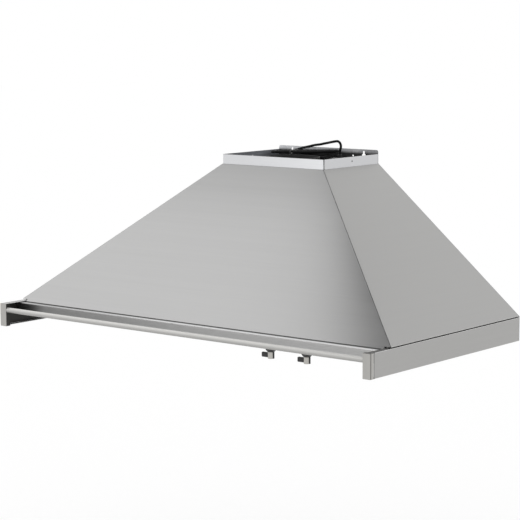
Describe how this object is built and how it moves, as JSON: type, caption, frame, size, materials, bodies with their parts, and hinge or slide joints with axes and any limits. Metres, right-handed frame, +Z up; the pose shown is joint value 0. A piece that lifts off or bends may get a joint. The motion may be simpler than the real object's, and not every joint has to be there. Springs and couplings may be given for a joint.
{
  "type": "wall canopy range hood",
  "caption": "Wide wall-mounted pyramid range hood with a low collar, front rail, baffle filters, turning knobs, lamps, blower and a folded supply cord.",
  "frame": {"origin": "on the back face, midway between the seats of the two keyhole slots that hang the hood on its wall screws", "axes": "+X to the right seen from the front, +Y into the wall, +Z up"},
  "size_m": [1.214, 0.646, 0.4897],
  "materials": {
    "canopy_steel": "finely brushed",
    "collar_steel": "bright mill finish",
    "trim_steel": "satin",
    "zinc_sheet": "galvanised",
    "black_plastic": "fine grain",
    "cord_black": "soft sheath",
    "grey_plastic": "moulded",
    "motor_paint": "grey paint",
    "lens": "frosted"
  },
  "bodies": {
    "hood": {"back_panel": "zinc_sheet", "canopy_front_panel": "canopy_steel", "canopy_right_panel": "canopy_steel", "canopy_left_panel": "canopy_steel", "collar_front": "collar_steel", "collar_right": "collar_steel", "collar_left": "collar_steel", "side_panel_right": "canopy_steel", "side_panel_left": "canopy_steel", "end_block_right": "trim_steel", "end_block_left": "trim_steel", "front_rail": "trim_steel", "front_fascia": "canopy_steel", "rear_base_rail": "canopy_steel", "top_plate": "zinc_sheet", "duct_ring": "black_plastic", "damper_pin": "zinc_sheet", "lamp_housing_left": "zinc_sheet", "lamp_lens_left": "lens", "lamp_housing_right": "zinc_sheet", "lamp_lens_right": "lens", "fan_switch": "grey_plastic", "light_switch": "grey_plastic", "scroll_wrap": "zinc_sheet", "scroll_side_left": "zinc_sheet", "scroll_side_right": "zinc_sheet", "inlet_ring_left": "zinc_sheet", "inlet_ring_right": "zinc_sheet", "motor": "motor_paint", "motor_bracket": "zinc_sheet", "capacitor": "grey_plastic", "junction_box": "zinc_sheet", "junction_box_cover": "zinc_sheet", "control_cable": "cord_black", "cord_gland": "black_plastic", "cord_stretch": "cord_black", "cord_hank": "cord_black", "cord_tail": "cord_black", "cord_tie": "black_plastic", "plug": "black_plastic"},
    "fan_knob": {"fan_knob": "black_plastic", "fan_knob_sleeve": "trim_steel", "fan_spindle": "zinc_sheet"},
    "light_knob": {"light_knob": "black_plastic", "light_knob_sleeve": "trim_steel", "light_spindle": "zinc_sheet"},
    "fan_wheel": {"impeller": "zinc_sheet", "motor_shaft": "trim_steel"},
    "front_damper_flap": {"damper_flap_front": "black_plastic"},
    "rear_damper_flap": {"damper_flap_rear": "black_plastic"},
    "left_filter": {"baffle_filter_left": "canopy_steel"},
    "left_filter_latch": {"filter_latch_left": "trim_steel"},
    "centre_filter": {"baffle_filter_centre": "canopy_steel"},
    "centre_filter_latch": {"filter_latch_centre": "trim_steel"},
    "right_filter": {"baffle_filter_right": "canopy_steel"},
    "right_filter_latch": {"filter_latch_right": "trim_steel"}
  },
  "joints": [
    {"name": "fan_knob_turn", "type": "hinge", "parent": "hood", "child": "fan_knob", "pos_m": [0.2643, -0.577, -0.4455], "axis": [0, 0, 1], "range_deg": [0, 135]},
    {"name": "light_knob_turn", "type": "hinge", "parent": "hood", "child": "light_knob", "pos_m": [0.3736, -0.577, -0.4455], "axis": [0, 0, 1], "range_deg": [0, 90]},
    {"name": "fan_wheel_spin", "type": "hinge", "parent": "hood", "child": "fan_wheel", "pos_m": [0, -0.108, -0.1575], "axis": [1, 0, 0], "continuous": true},
    {"name": "front_flap_swing", "type": "hinge", "parent": "hood", "child": "front_damper_flap", "pos_m": [0, -0.158, -0.0235], "axis": [-1, 0, 0], "range_deg": [0, 70]},
    {"name": "rear_flap_swing", "type": "hinge", "parent": "hood", "child": "rear_damper_flap", "pos_m": [0, -0.158, -0.0235], "axis": [1, 0, 0], "range_deg": [0, 70]},
    {"name": "left_filter_tilt", "type": "hinge", "parent": "hood", "child": "left_filter", "pos_m": [-0.39167, -0.044, -0.4448], "axis": [1, 0, 0], "range_deg": [0, 60]},
    {"name": "left_latch_slide", "type": "slide", "parent": "left_filter", "child": "left_filter_latch", "axis": [0, 1, 0], "range_m": [0, 0.008], "stiffness_N_per_m": 250, "springref_m": -0.012},
    {"name": "centre_filter_tilt", "type": "hinge", "parent": "hood", "child": "centre_filter", "pos_m": [0, -0.044, -0.4448], "axis": [1, 0, 0], "range_deg": [0, 60]},
    {"name": "centre_latch_slide", "type": "slide", "parent": "centre_filter", "child": "centre_filter_latch", "axis": [0, 1, 0], "range_m": [0, 0.008], "stiffness_N_per_m": 250, "springref_m": -0.012},
    {"name": "right_filter_tilt", "type": "hinge", "parent": "hood", "child": "right_filter", "pos_m": [0.39167, -0.044, -0.4448], "axis": [1, 0, 0], "range_deg": [0, 60]},
    {"name": "right_latch_slide", "type": "slide", "parent": "right_filter", "child": "right_filter_latch", "axis": [0, 1, 0], "range_m": [0, 0.008], "stiffness_N_per_m": 250, "springref_m": -0.012}
  ]
}
